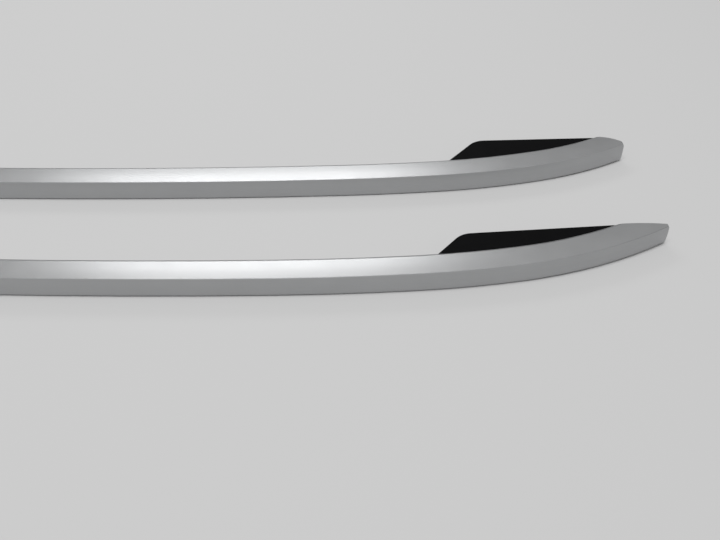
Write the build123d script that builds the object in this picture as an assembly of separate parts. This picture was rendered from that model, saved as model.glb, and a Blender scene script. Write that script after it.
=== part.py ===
from build123d import *
import os
from math import asin, cos, degrees, radians, sin, sqrt, tan

# A pair of raised roof rails for a car, lying on their inner sides on a bench.
# +X runs along the rails, -Y is up on the car, +Y is towards the roof, +Z is up from the bench.
# The left rail has its front end at +X, and the right rail is its mirror image.
# All lengths are millimetres and all angles are degrees.

# Hollow aluminium section of the bar
bar_width = 31.5
bar_height = 37.0
bar_wall = 2.8
outer_crown = 0.6
top_crown = 1.5
ridge_chamfer = 0.5
outer_edge_radius = 6.0
edge_radius = 3.0
hollow_radius = 0.8

# Bow of the bar: tangent arcs from the crown outwards, each with its radius and its run along X
# The crown's own arc takes up what the reach leaves
crown_radius = 8600.0
front_shoulder_radius = 3200.0
front_shoulder_run = 185.0
front_haunch_radius = 1270.0
front_haunch_run = 135.0
front_tip_radius = 630.0
front_tip_run = 200.0
rear_shoulder_radius = 2600.0
rear_shoulder_run = 150.0
rear_haunch_radius = 1020.0
rear_haunch_run = 145.0
rear_tip_radius = 520.0
rear_tip_run = 130.0

# Ends of the bar: reach from the crown, roof line, and the tip's lifted cut, rounded corners and leaning end
front_reach = 749.5
front_roof_slope = 5.3
front_tip_depth = 10.0
front_lift_radius = 440.0
front_lift_run = 75.0
front_tip_round = 4.0
rear_reach = 864.5
rear_roof_slope = 2.9
rear_tip_depth = 20.5
rear_lift_radius = 70.0
rear_lift_run = 47.0
rear_tip_round = 5.0
inner_tip_round = 6.0
tip_lean = 2.5
tip_round_dip = 0.1
bar_roof_gap = 0.5

# Moulded feet
front_foot_length = 308.0
rear_foot_length = 263.0
foot_recess = 2.5
foot_wall = 3.0
foot_end_slope = 50.0
foot_corner_radius = 30.0
foot_rib = 2.4
slot_past_insert = 25.0
slot_lip = 1.0
tongue_reach = 28.0
tongue_clearance = 0.3
tongue_rib_pitch = 30.0
core_back = 30.0
plug_back = 5.0

# Screws and nut plate that hold a foot to the bar
screw_edge = 48.0
screw_radius = 2.5
screw_head_radius = 4.75
screw_head_height = 3.4
screw_recess_radius = 1.5
screw_recess_depth = 2.0
screw_clearance = 0.3
spot_face_depth = 0.4
nut_plate_thickness = 4.0
nut_plate_width = 18.0
nut_plate_margin = 12.0
screw_past_plate = 1.5

# Threaded inserts for the roof bolts, with their seals
insert_edge = 36.0
insert_cover = 5.0
insert_across_flats = 10.0
insert_bore_radius = 3.4
insert_length = 18.0
insert_proud = 1.2
boss_wall = 3.0
seal_clearance = 0.25
seal_ring = 2.4
seal_thickness = 2.6

# Rubber pad under a foot
gasket_thickness = 2.0
gasket_inset = 1.4
gasket_back = 15.0
gasket_corner_radius = 7.0
gasket_lip = 2.4
gasket_relief = 0.6

# How the pair lies on the bench
rail_pitch = 195.0
rail_stagger = 15.0

# Room by which drawn outlines and cutters run past the solid, and steps of the search for a station
draw_past = 40.0
station_halvings = 40

body_width = bar_width - outer_crown
mid_z = body_width / 2
hollow_top = top_crown + bar_wall
hollow_bottom = bar_height - bar_wall
slot_side = bar_wall + slot_lip
insert_corner_radius = insert_across_flats / sqrt(3)
seal_inner_radius = insert_corner_radius + seal_clearance
seal_outer_radius = seal_inner_radius + seal_ring


def slab(face, low, high):
    """Solid of a face in the XY plane between two heights."""
    return Pos(0, 0, low) * extrude(face, high - low, dir=(0, 0, 1))


def post(radius, start, end):
    """Round bar along +Y between two distances."""
    turned = Rot(-90, 0, 0) * Cylinder(radius, end - start, align=(Align.CENTER, Align.CENTER, Align.MIN))
    return Pos(0, start, 0) * turned


def group(solids):
    """Several separate solids that share one node."""
    return Compound(children=list(solids))


def bar_section():
    """Cross-section of the extrusion: X is the depth from the ridge line, Y the height off the bench."""
    ridge = (0, body_width)
    outer_face = ThreePointArc(ridge, (bar_height / 2, bar_width), (bar_height, body_width))
    roof_face = Line((bar_height, body_width), (bar_height, 0))
    inner_face = Line((bar_height, 0), (0, 0))
    top_face = ThreePointArc((0, 0), (-top_crown, mid_z), ridge)
    outline = make_face([outer_face, roof_face, inner_face, top_face])
    outline = fillet(outline.vertices().sort_by_distance((bar_height, body_width, 0))[0], outer_edge_radius)
    outline = chamfer(outline.vertices().sort_by_distance((*ridge, 0))[0], ridge_chamfer)
    outline = fillet(outline.vertices().sort_by(Axis.Y)[:2], edge_radius)
    hollow_depth = hollow_bottom - hollow_top
    hollow = RectangleRounded(hollow_depth, body_width - 2 * bar_wall, hollow_radius)
    return outline - Pos(hollow_top + hollow_depth / 2, mid_z) * hollow


class RailEnd:
    """One end of a rail, drawn outwards along +X from the crown of the bow."""

    def __init__(self, reach, bends, roof_slope, tip_depth, lift_radius, lift_run, tip_round, foot_length):
        self.reach = reach
        self.tip_round = tip_round
        self.slope = radians(roof_slope)
        self.lift_radius = lift_radius
        self.foot_start = reach - foot_length
        self.arcs = self.tangent_arcs(bends)
        self.tip_roof_y = self.ridge(reach)[1] + tip_depth
        self.lift_start = reach - lift_run
        lift_y = self.roof_y(self.lift_start)
        self.lift_centre_x = self.lift_start + lift_radius * sin(self.slope)
        self.lift_centre_y = lift_y - lift_radius * cos(self.slope)
        self.ground = self.tip_roof_y + draw_past
        end_turn = radians(foot_end_slope) - self.slope
        self.gasket_start = self.foot_corner(0)[1][0] + foot_corner_radius * tan(end_turn / 2)
        inner_insert = self.gasket_start + insert_edge
        outer_insert = self.station_of_depth(insert_length - insert_proud + insert_cover)
        self.inserts = inner_insert, outer_insert
        self.screws = self.foot_start + screw_edge, (inner_insert + outer_insert) / 2
        self.slot_x = outer_insert + slot_past_insert

    def tangent_arcs(self, bends):
        """Centre, radius and first and last heading of each arc of the ridge line."""
        arcs = []
        x = y = heading = 0.0
        for radius, end in bends:
            centre_x = x - radius * sin(heading)
            centre_y = y + radius * cos(heading)
            last = asin((end - centre_x) / radius)
            arcs.append((centre_x, centre_y, radius, heading, last))
            x = end
            y = centre_y - radius * cos(last)
            heading = last
        return arcs

    def ridge(self, x):
        """Heading and Y of the ridge line at a station."""
        for centre_x, centre_y, radius, _, last in self.arcs:
            heading = asin((x - centre_x) / radius)
            if heading <= last:
                break
        return heading, centre_y - radius * cos(heading)

    def at(self, x):
        """Place on the ridge line, with +Y square to the bar and towards the roof."""
        heading, y = self.ridge(x)
        return Pos(x, y, mid_z) * Rot(0, 0, degrees(heading))

    def roof_y(self, x):
        """Y of the straight roof line under the foot."""
        return self.tip_roof_y + (x - self.reach) * tan(self.slope)

    def station_of_depth(self, depth):
        """Station at which the foot between bar and roof line has thinned to this depth."""
        low = self.foot_start
        high = self.lift_start
        for _ in range(station_halvings):
            x = (low + high) / 2
            heading, y = self.ridge(x)
            if self.roof_y(x) - y - bar_height / cos(heading) > depth:
                low = x
            else:
                high = x
        return low

    def lift_point(self, x, offset):
        """Point of the lifted cut at the tip, or of a line outside it."""
        radius = self.lift_radius + offset
        return x, self.lift_centre_y + sqrt(radius ** 2 - (x - self.lift_centre_x) ** 2)

    def along(self, profile, start, end):
        """Solid of a cross-section carried along the bow between two stations."""
        first_heading = self.ridge(start)[0]
        last_heading = self.ridge(end)[0]
        spans = []
        for centre_x, centre_y, radius, first, last in self.arcs:
            low = max(first, first_heading)
            turn = min(last, last_heading) - low
            if turn > 0:
                swept = revolve(Plane.YZ * Pos(-radius, 0) * profile, Axis.Z, degrees(turn))
                spans.append(Pos(centre_x, centre_y) * Rot(0, 0, degrees(low)) * swept)
        return spans[0].fuse(*spans[1:]) if len(spans) > 1 else spans[0]

    def roof_side_of(self, depth):
        """Face of all that lies towards the roof from the line at this depth below the ridge."""
        edges = []
        for centre_x, centre_y, radius, first, last in self.arcs:
            turn = degrees(last - first)
            edges.append(CenterArc((centre_x, centre_y), radius - depth, degrees(first) - 90, turn))
        inner = edges[0] @ 0
        outer = edges[-1] @ 1
        edges.append(Polyline(outer, (outer.X, self.ground), (inner.X, self.ground), inner))
        return make_face(edges)

    def above_roof(self, start, end, offset=0.0):
        """Face on the bar's side of the roof line and its lifted tip, between two stations."""
        bend_x = self.lift_start - offset * sin(self.slope)
        bend = self.lift_point(bend_x, offset)
        inner = (start, bend[1] - (bend_x - start) * tan(self.slope))
        outer = self.lift_point(end, offset)
        middle = self.lift_point((bend_x + end) / 2, offset)
        walls = Polyline(outer, (end, -draw_past), (start, -draw_past), inner)
        return make_face([Line(inner, bend), ThreePointArc(bend, middle, outer), walls])

    def foot_corner(self, inset):
        """Where the sloped inner end of the foot, moved inwards, meets bar and roof line."""
        slope = radians(foot_end_slope)
        heading, y = self.ridge(self.foot_start)
        top_x = self.foot_start - bar_height * sin(heading) + inset * sin(slope)
        top_y = y + bar_height * cos(heading) - inset * cos(slope)
        drop = (self.roof_y(top_x) - top_y) / (sin(slope) - cos(slope) * tan(self.slope))
        return (top_x, top_y), (top_x + drop * cos(slope), top_y + drop * sin(slope))

    def inner_side(self, inset):
        """Face inboard of the foot's sloped inner end."""
        slope = radians(foot_end_slope)
        top, corner = self.foot_corner(inset)
        over = (top[0] - draw_past * cos(slope), top[1] - draw_past * sin(slope))
        under = (corner[0] + draw_past * cos(slope), corner[1] + draw_past * sin(slope))
        far = over[0] - draw_past
        return make_face(Polyline(over, under, (far, under[1]), (far, over[1]), over))

    def beyond(self, x):
        """Face of all that lies outboard of a station."""
        width = self.reach + draw_past - x
        height = self.ground + 2 * draw_past
        return Pos(x + width / 2, self.ground - height / 2 + draw_past) * Rectangle(width, height)

    def tip_waste(self):
        """Face, seen along the roof, of all that lies past the leaning end and its two rounded corners."""
        lean = radians(tip_lean)
        corners = []
        for radius, height in ((inner_tip_round, inner_tip_round - tip_round_dip),
                               (self.tip_round, bar_width - self.tip_round)):
            corners.append((self.reach - height * tan(lean) - radius / cos(lean), height, radius))
        (low_x, low_z, low_r), (top_x, top_z, top_r) = corners
        low_arc = CenterArc((low_x, low_z), low_r, -90, 90 + tip_lean)
        top_arc = CenterArc((top_x, top_z), top_r, tip_lean, 90 - tip_lean)
        low = low_arc @ 0
        top = top_arc @ 1
        far = self.reach + draw_past
        under = low.Y - draw_past
        over = top.Y + draw_past
        walls = Polyline(top, (top.X, over), (far, over), (far, under), (low.X, under), low)
        return make_face([low_arc, Line(low_arc @ 1, top_arc @ 0), top_arc, walls])

    def ribs(self):
        """Stations of the foot's ribs, midway between its screws and inserts."""
        fixings = sorted((*self.screws, *self.inserts))
        return [(inner + outer) / 2 for inner, outer in zip(fixings, fixings[1:])]


def bar_half(end, section):
    """Bar from the crown to one tip, trimmed along the roof line, with the slot for the foot's tongue."""
    half = end.along(section, 0, end.reach + draw_past / 2)
    start = end.foot_start
    kept = end.above_roof(start, end.reach, -bar_roof_gap)
    half -= slab(end.beyond(start) - kept, -draw_past, bar_width + draw_past)
    half -= extrude(Plane.XZ * end.tip_waste(), end.ground + draw_past, both=True)
    slot = end.roof_side_of(bar_height / 2) & end.beyond(end.slot_x)
    half -= slab(slot, slot_side, body_width - slot_side)
    for x in end.screws:
        half -= end.at(x) * post(screw_radius + screw_clearance, bar_height / 2, bar_height + bar_wall)
    return half


def foot_body(end):
    """Moulded foot: ribbed wedge under the bar, and a tongue that plugs the cut end."""
    outline = end.above_roof(end.foot_start - draw_past, end.reach) - end.inner_side(0)
    corner = end.foot_corner(0)[1]
    outline = fillet(outline.vertices().sort_by_distance((*corner, 0))[0], foot_corner_radius)
    wedge = slab(outline & end.roof_side_of(bar_height), foot_recess, body_width - foot_recess)

    plug = end.above_roof(end.slot_x - tongue_reach, end.reach - plug_back)
    plug &= end.roof_side_of(hollow_top + tongue_clearance)
    tongue = plug - end.roof_side_of(hollow_bottom - tongue_clearance)
    tongue_side = bar_wall + tongue_clearance
    neck = plug & end.beyond(end.slot_x + tongue_clearance)
    neck_side = slot_side + tongue_clearance
    foot = wedge + slab(tongue, tongue_side, body_width - tongue_side)
    foot += slab(neck, neck_side, body_width - neck_side)

    corner_loss = foot_corner_radius * (1 / cos(radians(foot_end_slope) / 2) - 1)
    hollow = end.roof_side_of(bar_height + foot_wall) - end.inner_side(foot_wall + corner_loss)
    hollow -= end.beyond(end.slot_x - tongue_clearance - foot_wall)
    pocket_side = foot_recess + foot_wall
    pocket = slab(hollow, pocket_side, body_width - pocket_side)
    for x in end.ribs():
        pocket -= Pos(x, end.ground / 2, mid_z) * Box(foot_rib, 2 * end.ground, bar_width)
    for x in end.inserts:
        pocket -= Pos(x, 0, mid_z) * post(insert_corner_radius + boss_wall, 0, end.ground)
    foot -= pocket

    core_start = end.slot_x + tongue_clearance + foot_wall
    core_end = end.reach - core_back
    core = end.roof_side_of(hollow_top + tongue_clearance + foot_wall) & end.beyond(core_start)
    core -= end.beyond(core_end)
    core_side = neck_side + foot_wall
    core = slab(core, core_side, body_width - core_side)
    for step in range(1, int((core_end - core_start) / tongue_rib_pitch) + 1):
        x = core_start + step * tongue_rib_pitch
        core -= Pos(x, end.ground / 2, mid_z) * Box(foot_rib, 2 * end.ground, bar_width)
    foot -= core

    for x in end.screws:
        shank = post(screw_radius + screw_clearance, bar_height - foot_wall, bar_height + 2 * foot_wall)
        seat = bar_height + foot_wall - spot_face_depth
        spot = post(screw_head_radius + 2 * screw_clearance, seat, seat + foot_wall)
        foot -= end.at(x) * (shank + spot)
    for solid in insert_blanks(end):
        foot -= solid
    return foot


def insert_blanks(end):
    """Hexagonal inserts before they are bored, standing a little proud of the foot."""
    blanks = []
    for x in end.inserts:
        hexagon = RegularPolygon(insert_across_flats / 2, 6, major_radius=False)
        blank = Rot(-90, 0, 0) * extrude(hexagon, insert_length)
        blanks.append(Pos(x, end.roof_y(x) + insert_proud - insert_length, mid_z) * blank)
    return blanks


def threaded_inserts(end):
    """Bored steel inserts for the roof bolts, moulded into the foot."""
    bores = [Pos(x, 0, mid_z) * post(insert_bore_radius, 0, end.ground)
             for x in end.inserts]
    return group(blank - bore for blank, bore in zip(insert_blanks(end), bores))


def under_foot(end, start, finish, thickness):
    """Face of a strip that lies under the foot along the roof line."""
    return end.above_roof(start, finish, thickness) - end.above_roof(start - draw_past, end.reach)


def bolt_seals(end):
    """Rubber rings on the foot around the inserts."""
    seals = []
    for x in end.inserts:
        strip = under_foot(end, x - draw_past, end.reach - gasket_back, seal_thickness)
        ring = post(seal_outer_radius, 0, end.ground) - post(seal_inner_radius, 0, end.ground)
        seals.append(slab(strip, 0, bar_width) & Pos(x, 0, mid_z) * ring)
    return group(seals)


def gasket(end):
    """Rubber pad under the foot, with a sealing lip round its edge and round its bolt holes."""
    start = end.gasket_start
    finish = end.reach - gasket_back
    width = body_width - 2 * (bar_wall + gasket_inset)

    def pad(thickness, inset):
        strip = under_foot(end, start - gasket_back, end.reach - plug_back, thickness)
        length = finish - start - 2 * inset
        plan = RectangleRounded(length, width - 2 * inset, gasket_corner_radius - inset)
        prism = extrude(Plane.XZ * Pos((start + finish) / 2, mid_z) * plan, end.ground + draw_past, both=True)
        return slab(strip, 0, bar_width) & prism

    relief = pad(gasket_thickness, gasket_lip) - pad(gasket_thickness - gasket_relief, gasket_lip)
    holes = []
    for x in end.inserts:
        hole_radius = seal_outer_radius + seal_clearance
        relief -= Pos(x, 0, mid_z) * post(hole_radius + gasket_lip, 0, end.ground)
        holes.append(Pos(x, 0, mid_z) * post(hole_radius, 0, end.ground))
    return pad(gasket_thickness, 0) - relief - holes


def nut_plate(end):
    """Tapped steel strip that lies inside the bar on its roof-side wall."""
    middle = hollow_bottom - nut_plate_thickness / 2
    section = Pos(middle, mid_z) * Rectangle(nut_plate_thickness, nut_plate_width)
    first, last = end.screws
    plate = end.along(section, first - nut_plate_margin, last + nut_plate_margin)
    for x in end.screws:
        plate -= end.at(x) * post(screw_radius, 0, bar_height)
    return plate


def foot_screws(end):
    """Socket screws that draw the foot up against the bar."""
    seat = bar_height + foot_wall - spot_face_depth
    tip = hollow_bottom - nut_plate_thickness - screw_past_plate
    screw = post(screw_radius, tip, seat) + post(screw_head_radius, seat, seat + screw_head_height)
    head_top = seat + screw_head_height
    screw -= post(screw_recess_radius, head_top - screw_recess_depth, head_top)
    return group(end.at(x) * screw for x in end.screws)


def rail_pieces():
    """Every piece of the left rail, with its front end at +X and its crown over the origin."""
    front = RailEnd(
        front_reach,
        bends(front_reach, front_shoulder_radius, front_shoulder_run,
              front_haunch_radius, front_haunch_run, front_tip_radius, front_tip_run),
        front_roof_slope, front_tip_depth, front_lift_radius, front_lift_run,
        front_tip_round, front_foot_length)
    rear = RailEnd(
        rear_reach,
        bends(rear_reach, rear_shoulder_radius, rear_shoulder_run,
              rear_haunch_radius, rear_haunch_run, rear_tip_radius, rear_tip_run),
        rear_roof_slope, rear_tip_depth, rear_lift_radius, rear_lift_run,
        rear_tip_round, rear_foot_length)
    section = bar_section()
    halves = [bar_half(end, section) for end in (front, rear)]
    pieces = {"rail_bar": halves[0] + mirror(halves[1], about=Plane.YZ)}
    makers = {
        "foot": foot_body,
        "gasket": gasket,
        "nut_plate": nut_plate,
        "foot_screws": foot_screws,
        "threaded_inserts": threaded_inserts,
        "bolt_seals": bolt_seals,
    }
    for name, make in makers.items():
        pieces["front_" + name] = make(front)
        pieces["rear_" + name] = mirror(make(rear), about=Plane.YZ)
    return pieces


def bends(reach, shoulder_radius, shoulder_run, haunch_radius, haunch_run, tip_radius, tip_run):
    """Radius and last station of each arc of one end."""
    haunch_end = reach - tip_run
    shoulder_end = haunch_end - haunch_run
    crown_end = shoulder_end - shoulder_run
    return ((crown_radius, crown_end), (shoulder_radius, shoulder_end),
            (haunch_radius, haunch_end), (tip_radius, reach + draw_past))


def rail_pair():
    """Both rails as they lie on the bench, centred over the origin."""
    left = rail_pieces()
    right_x = front_reach - rear_reach - rail_stagger
    pair = {"left_" + name: piece for name, piece in left.items()}
    for name, piece in left.items():
        pair["right_" + name] = Pos(right_x, rail_pitch, 0) * mirror(piece, about=Plane.YZ)
    boxes = [piece.bounding_box() for piece in pair.values()]
    middle_x = (min(box.min.X for box in boxes) + max(box.max.X for box in boxes)) / 2
    middle_y = (min(box.min.Y for box in boxes) + max(box.max.Y for box in boxes)) / 2
    return {name: Pos(-middle_x, -middle_y, 0) * piece for name, piece in pair.items()}


os.makedirs("parts", exist_ok=True)
for node, shape in rail_pair().items():
    export_step(shape, f"parts/{node}.step")
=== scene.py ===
import math

import bpy
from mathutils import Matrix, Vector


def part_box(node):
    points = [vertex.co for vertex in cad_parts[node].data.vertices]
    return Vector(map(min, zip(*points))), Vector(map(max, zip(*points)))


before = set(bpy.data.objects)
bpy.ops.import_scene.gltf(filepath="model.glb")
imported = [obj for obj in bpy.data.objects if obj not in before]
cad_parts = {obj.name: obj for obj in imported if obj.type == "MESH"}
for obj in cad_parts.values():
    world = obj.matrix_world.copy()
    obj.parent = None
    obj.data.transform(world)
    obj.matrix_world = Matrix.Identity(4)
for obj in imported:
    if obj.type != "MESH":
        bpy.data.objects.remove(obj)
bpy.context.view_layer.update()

# Rail bars
# Each bar is one hollow aluminium extrusion, stretched and bent to the bow of a car roof.
# It is linished along its length, etched to a satin finish and anodised in clear silver.
left_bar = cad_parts["left_rail_bar"]
right_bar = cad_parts["right_rail_bar"]


def linear(hex_colour):
    """Linear colour of an sRGB hex value."""
    shares = [int(hex_colour[i:i + 2], 16) / 255 for i in (1, 3, 5)]
    return [s / 12.92 if s <= 0.04045 else ((s + 0.055) / 1.055) ** 2.4 for s in shares] + [1.0]


def add_node(owner, kind, settings=None, links=None):
    """Adds one node to a material or a world, with its settings and the links into its sockets."""
    node = owner.node_tree.nodes.new(kind)
    for name, value in (settings or {}).items():
        if isinstance(name, str) and name.islower():
            setattr(node, name, value)
        else:
            node.inputs[name].default_value = value
    for socket, source in (links or {}).items():
        owner.node_tree.links.new(source, node.inputs[socket])
    return node


def new_finish(name, metallic):
    """New material and its shader, 1 for a bare metal and 0 for the rest."""
    material = bpy.data.materials.new(name)
    material.use_nodes = True
    shader = material.node_tree.nodes["Principled BSDF"]
    shader.inputs["Metallic"].default_value = metallic
    return material, shader


def bow_points(bar, count):
    """Stations along a bar, as shares of its length, with the share of its drop that its ridge has there."""
    low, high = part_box(bar.name)
    ridge_band = 0.004
    corners_to_read = 40
    upper = [(v.co.x, v.co.y) for v in bar.data.vertices if v.co.z > high.z - ridge_band]
    points = []
    for i in range(count):
        share = i / (count - 1)
        station = low.x + share * (high.x - low.x)
        near = sorted(upper, key=lambda corner: abs(corner[0] - station))[:corners_to_read]
        points.append((share, (min(y for x, y in near) - low.y) / (high.y - low.y)))
    return points


def satin_anodised_aluminium(bar):
    """Soft mirror of the room, with faint lines drawn along the bow by the die and the linishing belt."""
    material, shader = new_finish("satin_anodised_aluminium_" + bar.name.split("_")[0], 1.0)
    low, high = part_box(bar.name)
    place = add_node(material, "ShaderNodeTexCoord")
    axes = add_node(material, "ShaderNodeSeparateXYZ", links={0: place.outputs["Object"]})
    share = add_node(material, "ShaderNodeMapRange", {"From Min": low.x, "From Max": high.x},
                     {"Value": axes.outputs["X"]})
    bow = add_node(material, "ShaderNodeFloatCurve", links={"Value": share.outputs[0]})
    curve = bow.mapping.curves[0]
    stations = 13
    points = bow_points(bar, stations)
    curve.points[0].location = points[0]
    curve.points[1].location = points[-1]
    for point in points[1:-1]:
        curve.points.new(*point)
    bow.mapping.update()
    drop = add_node(material, "ShaderNodeMath", {"operation": "MULTIPLY", 1: high.y - low.y},
                    {0: bow.outputs[0]})
    depth = add_node(material, "ShaderNodeMath", {"operation": "SUBTRACT"},
                     {0: axes.outputs["Y"], 1: drop.outputs[0]})
    straight = add_node(material, "ShaderNodeCombineXYZ", links={
        "X": axes.outputs["X"], "Y": depth.outputs[0], "Z": axes.outputs["Z"]})

    # Real linishing lines are about 0.1 mm apart, drawn here 0.5 mm apart and 90 mm long so that they show
    line_pitch = 0.0005
    line_length = 0.09
    stretch = add_node(material, "ShaderNodeMapping",
                       {"Scale": (1 / line_length, 1 / line_pitch, 1 / line_pitch)},
                       {"Vector": straight.outputs[0]})
    lines = add_node(material, "ShaderNodeTexNoise", {"Scale": 1.0, "Detail": 3.0, "Roughness": 0.6},
                     {"Vector": stretch.outputs[0]})
    # The etch leaves patches a few centimetres long that are a little more or less matt
    patch_size = 0.035
    line_share = 0.35
    patches = add_node(material, "ShaderNodeTexNoise", {"Scale": 1 / patch_size, "Detail": 2.0},
                       {"Vector": place.outputs["Object"]})
    matt = add_node(material, "ShaderNodeMix", {"data_type": "FLOAT", "Factor": line_share},
                    {"A": patches.outputs[0], "B": lines.outputs[0]})
    roughness = add_node(material, "ShaderNodeMapRange", {"To Min": 0.31, "To Max": 0.41},
                         {"Value": matt.outputs[0]})
    tone = add_node(material, "ShaderNodeMixRGB", {"Color1": linear("#AFB0B1"), "Color2": linear("#BABBBC")},
                    {"Fac": matt.outputs[0]})
    relief = add_node(material, "ShaderNodeBump", {"Strength": 0.05, "Distance": 0.0002},
                      {"Height": lines.outputs[0]})
    material.node_tree.links.new(tone.outputs["Color"], shader.inputs["Base Color"])
    material.node_tree.links.new(roughness.outputs[0], shader.inputs["Roughness"])
    material.node_tree.links.new(relief.outputs[0], shader.inputs["Normal"])
    return material


def finish_node(node, material):
    """Gives a node one finish all over."""
    node.data.materials.clear()
    node.data.materials.append(material)


for bar in (left_bar, right_bar):
    finish_node(bar, satin_anodised_aluminium(bar))

# Nut plates and foot screws
# The plates are steel strips that lie inside the bars, tapped for the socket screws that hold the feet.
# Both are pressed or turned and then barrel-plated in zinc with a clear passivation.
zinc, zinc_shader = new_finish("clear_passivated_zinc_plate", 1.0)
zinc_place = add_node(zinc, "ShaderNodeTexCoord")
# Barrel plating clouds over a few millimetres, and its crystals are under 0.1 mm, drawn here at 0.6 mm
cloud_size = 0.004
crystal_size = 0.0006
clouds = add_node(zinc, "ShaderNodeTexNoise", {"Scale": 1 / cloud_size, "Detail": 4.0},
                  {"Vector": zinc_place.outputs["Object"]})
crystals = add_node(zinc, "ShaderNodeTexVoronoi", {"Scale": 1 / crystal_size},
                    {"Vector": zinc_place.outputs["Object"]})
zinc_tone = add_node(zinc, "ShaderNodeMixRGB", {"Color1": linear("#A9ADB1"), "Color2": linear("#C3C2B8")},
                     {"Fac": clouds.outputs[0]})
zinc_matt = add_node(zinc, "ShaderNodeMapRange", {"To Min": 0.26, "To Max": 0.48},
                     {"Value": clouds.outputs[0]})
zinc_relief = add_node(zinc, "ShaderNodeBump", {"Strength": 0.12, "Distance": 0.0001},
                       {"Height": crystals.outputs["Distance"]})
zinc.node_tree.links.new(zinc_tone.outputs["Color"], zinc_shader.inputs["Base Color"])
zinc.node_tree.links.new(zinc_matt.outputs[0], zinc_shader.inputs["Roughness"])
zinc.node_tree.links.new(zinc_relief.outputs[0], zinc_shader.inputs["Normal"])
for name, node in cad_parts.items():
    if name.endswith(("nut_plate", "foot_screws")):
        finish_node(node, zinc)

# Feet
# Each foot is one moulding in black glass-filled nylon, a ribbed wedge with a tongue that plugs the bar.
# The mould is spark-eroded, so the skin is an even fine grain, a little shinier where the melt ran fast.
nylon, nylon_shader = new_finish("black_glass_filled_nylon", 0.0)
nylon_shader.inputs["IOR"].default_value = 1.53
nylon_shader.inputs["Specular IOR Level"].default_value = 0.04
nylon_place = add_node(nylon, "ShaderNodeTexCoord")
# The grain of such a skin is about 0.3 mm, drawn here at 0.7 mm, and flow marks run over 20 mm
grain_size = 0.0007
flow_size = 0.02
grain = add_node(nylon, "ShaderNodeTexVoronoi", {"Scale": 1 / grain_size, "feature": "SMOOTH_F1"},
                 {"Vector": nylon_place.outputs["Object"]})
flow = add_node(nylon, "ShaderNodeTexNoise", {"Scale": 1 / flow_size, "Detail": 3.0, "Distortion": 0.6},
                {"Vector": nylon_place.outputs["Object"]})
nylon_tone = add_node(nylon, "ShaderNodeMixRGB", {"Color1": linear("#070708"), "Color2": linear("#0D0D0E")},
                      {"Fac": grain.outputs["Distance"]})
nylon_matt = add_node(nylon, "ShaderNodeMapRange", {"To Min": 0.52, "To Max": 0.72},
                      {"Value": flow.outputs[0]})
nylon_relief = add_node(nylon, "ShaderNodeBump", {"Strength": 0.35, "Distance": 0.00015},
                        {"Height": grain.outputs["Distance"]})
nylon.node_tree.links.new(nylon_tone.outputs["Color"], nylon_shader.inputs["Base Color"])
nylon.node_tree.links.new(nylon_matt.outputs[0], nylon_shader.inputs["Roughness"])
nylon.node_tree.links.new(nylon_relief.outputs[0], nylon_shader.inputs["Normal"])
for name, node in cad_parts.items():
    if name.endswith("_foot"):
        finish_node(node, nylon)

# Threaded inserts
# Hexagonal steel inserts are moulded into the feet, a little proud, so that the roof bolts pull on steel.
# They are turned from bar, tapped M8 right through and plated as the screws are.
insert_steel, insert_shader = new_finish("tapped_zinc_plated_steel", 1.0)
insert_place = add_node(insert_steel, "ShaderNodeTexCoord")
# An M8 thread has a pitch of 1.25 mm, and a wave texture of scale 1 turns by 20 radians in each metre
thread_pitch = 0.00125
wave_turn = 20
threads = add_node(insert_steel, "ShaderNodeTexWave",
                   {"Scale": 2 * math.pi / (wave_turn * thread_pitch), "bands_direction": "Y",
                    "wave_profile": "TRI"},
                   {"Vector": insert_place.outputs["Object"]})
insert_clouds = add_node(insert_steel, "ShaderNodeTexNoise", {"Scale": 1 / cloud_size, "Detail": 4.0},
                         {"Vector": insert_place.outputs["Object"]})
insert_tone = add_node(insert_steel, "ShaderNodeMixRGB",
                       {"Color1": linear("#A4A8AC"), "Color2": linear("#BEBDB3")},
                       {"Fac": insert_clouds.outputs[0]})
insert_matt = add_node(insert_steel, "ShaderNodeMapRange", {"To Min": 0.26, "To Max": 0.46},
                       {"Value": insert_clouds.outputs[0]})
thread_relief = add_node(insert_steel, "ShaderNodeBump", {"Strength": 1.0, "Distance": 0.0007},
                         {"Height": threads.outputs["Fac"]})
insert_steel.node_tree.links.new(insert_tone.outputs["Color"], insert_shader.inputs["Base Color"])
insert_steel.node_tree.links.new(insert_matt.outputs[0], insert_shader.inputs["Roughness"])
insert_steel.node_tree.links.new(thread_relief.outputs[0], insert_shader.inputs["Normal"])
for name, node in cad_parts.items():
    if name.endswith("threaded_inserts"):
        finish_node(node, insert_steel)

# Gaskets and bolt seals
# Rubber pads close the joint between feet and roof, and rings round the inserts keep water from the bolts.
# They are moulded in EPDM, matt black, with a faint bloom on the skin.
rubber, rubber_shader = new_finish("moulded_epdm_rubber", 0.0)
rubber_shader.inputs["IOR"].default_value = 1.5
rubber_place = add_node(rubber, "ShaderNodeTexCoord")
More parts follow.
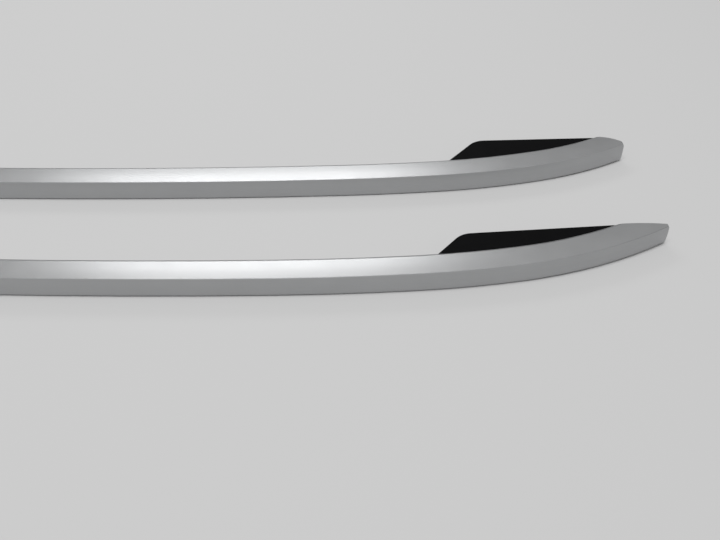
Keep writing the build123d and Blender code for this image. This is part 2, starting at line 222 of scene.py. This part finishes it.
# The skin copies a blasted mould, with pits of 0.2 mm drawn at 0.5 mm, and bloom lies in patches of 12 mm
pit_size = 0.0005
bloom_size = 0.012
pits = add_node(rubber, "ShaderNodeTexNoise", {"Scale": 1 / pit_size, "Detail": 3.0},
                {"Vector": rubber_place.outputs["Object"]})
bloom = add_node(rubber, "ShaderNodeTexNoise", {"Scale": 1 / bloom_size, "Detail": 5.0},
                 {"Vector": rubber_place.outputs["Object"]})
rubber_tone = add_node(rubber, "ShaderNodeMixRGB", {"Color1": linear("#151515"), "Color2": linear("#272726")},
                       {"Fac": bloom.outputs[0]})
rubber_matt = add_node(rubber, "ShaderNodeMapRange", {"To Min": 0.72, "To Max": 0.92},
                       {"Value": bloom.outputs[0]})
rubber_relief = add_node(rubber, "ShaderNodeBump", {"Strength": 0.3, "Distance": 0.0001},
                         {"Height": pits.outputs[0]})
rubber.node_tree.links.new(rubber_tone.outputs["Color"], rubber_shader.inputs["Base Color"])
rubber.node_tree.links.new(rubber_matt.outputs[0], rubber_shader.inputs["Roughness"])
rubber.node_tree.links.new(rubber_relief.outputs[0], rubber_shader.inputs["Normal"])
for name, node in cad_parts.items():
    if name.endswith(("gasket", "bolt_seals")):
        finish_node(node, rubber)

# Floor
# A plain pale grey sheet under the pair, matt, wide enough for every view.
# Part of the tone that the eye and the metal see is a painted glow, painted light that fills in the floor's
# shadows so that they stay faint on it.
floor_size = 400.0
floor_tone = linear("#CBCBCB")
glow_share = 0.55
bpy.ops.object.select_all(action="DESELECT")
bpy.ops.mesh.primitive_plane_add(size=floor_size, location=(0, 0, 0))
floor = bpy.context.object
floor.name = "floor"
sheet, sheet_shader = new_finish("pale_matt_floor", 0.0)
sheet_shader.inputs["Base Color"].default_value = floor_tone
sheet_shader.inputs["Roughness"].default_value = 0.85
sheet_shader.inputs["Specular IOR Level"].default_value = 0.2
rays = add_node(sheet, "ShaderNodeLightPath")
eye_or_gloss = add_node(sheet, "ShaderNodeMath", {"operation": "MAXIMUM"},
                        {0: rays.outputs["Is Camera Ray"], 1: rays.outputs["Is Glossy Ray"]})
in_sight = add_node(sheet, "ShaderNodeMath", {"operation": "MAXIMUM"},
                    {0: eye_or_gloss.outputs[0], 1: rays.outputs["Is Transmission Ray"]})
# The painted glow dies out over the last 5 mm before a piece, and is gone where a piece hides half of the
# sky, so that a painted contact shade stays there
contact_width = 0.005
open_sky_at_contact = 0.5
open_sky = add_node(sheet, "ShaderNodeAmbientOcclusion", {"Distance": contact_width})
glow_here = add_node(sheet, "ShaderNodeMapRange", {"From Min": open_sky_at_contact, "To Max": glow_share},
                     {"Value": open_sky.outputs["AO"]})
glow_factor = add_node(sheet, "ShaderNodeMath", {"operation": "MULTIPLY"},
                       {0: in_sight.outputs[0], 1: glow_here.outputs[0]})
glow = add_node(sheet, "ShaderNodeEmission", {"Color": floor_tone, "Strength": 1.0})
lit_and_glowing = add_node(sheet, "ShaderNodeMixShader", links={
    0: glow_factor.outputs[0], 1: sheet_shader.outputs[0], 2: glow.outputs[0]})
sheet_end = sheet.node_tree.nodes["Material Output"]
sheet.node_tree.links.new(lit_and_glowing.outputs[0], sheet_end.inputs["Surface"])
# The glow is only seen, and lights nothing as a lamp would
sheet.cycles.emission_sampling = "NONE"
finish_node(floor, sheet)

# Light
# One large soft panel hangs high over the pair, and a long, dimmer one stands behind it.
# The room round them is grey, and lighter overhead.
horizon_strength = 0.12
zenith_strength = 0.70
world = bpy.data.worlds.new("grey_room")
bpy.context.scene.world = world
world.use_nodes = True
background = world.node_tree.nodes["Background"]
background.inputs["Color"].default_value = linear("#FFFFFF")
direction = add_node(world, "ShaderNodeTexCoord")
upwards = add_node(world, "ShaderNodeSeparateXYZ", links={0: direction.outputs["Generated"]})
room = add_node(world, "ShaderNodeMapRange", {"To Min": horizon_strength, "To Max": zenith_strength},
                {"Value": upwards.outputs["Z"]})
world.node_tree.links.new(room.outputs[0], background.inputs["Strength"])


def soft_panel(name, place, target, width, height, power):
    """Rectangular lamp that faces a point."""
    lamp = bpy.data.lights.new(name, "AREA")
    lamp.shape = "RECTANGLE"
    lamp.size = width
    lamp.size_y = height
    lamp.energy = power
    panel = bpy.data.objects.new(name, lamp)
    bpy.context.scene.collection.objects.link(panel)
    panel.location = place
    towards = [t - p for t, p in zip(target, place)]
    flat = math.hypot(towards[0], towards[1])
    turn = math.atan2(towards[1], towards[0]) - math.pi / 2
    panel.rotation_euler = (math.atan2(flat, -towards[2]), 0, turn)


soft_panel("high_panel", place=(-0.10, -0.70, 3.40), target=(0.30, -0.10, 0.0), width=1.3, height=1.3,
           power=53.0)
soft_panel("back_panel", place=(-0.03, 1.50, 1.42), target=(0.25, -0.06, 0.03), width=1.34, height=0.45,
           power=8.15)

# Camera
# It looks down at about 44 degrees on one half of the pair, from a metre away beyond the left rail.
picture_width = 720
focal_length_in_pixels = 768.7
look_down = math.radians(43.819)
turn_left = math.radians(0.507)
camera_data = bpy.data.cameras.new("camera")
camera_data.sensor_width = 36.0
camera_data.lens = camera_data.sensor_width * focal_length_in_pixels / picture_width
camera = bpy.data.objects.new("camera", camera_data)
bpy.context.scene.collection.objects.link(camera)
camera.location = (0.4084, -0.83265, 0.6962)
camera.rotation_euler = (math.pi / 2 - look_down, 0, turn_left)
bpy.context.scene.camera = camera
bpy.context.scene.view_settings.view_transform = "Standard"
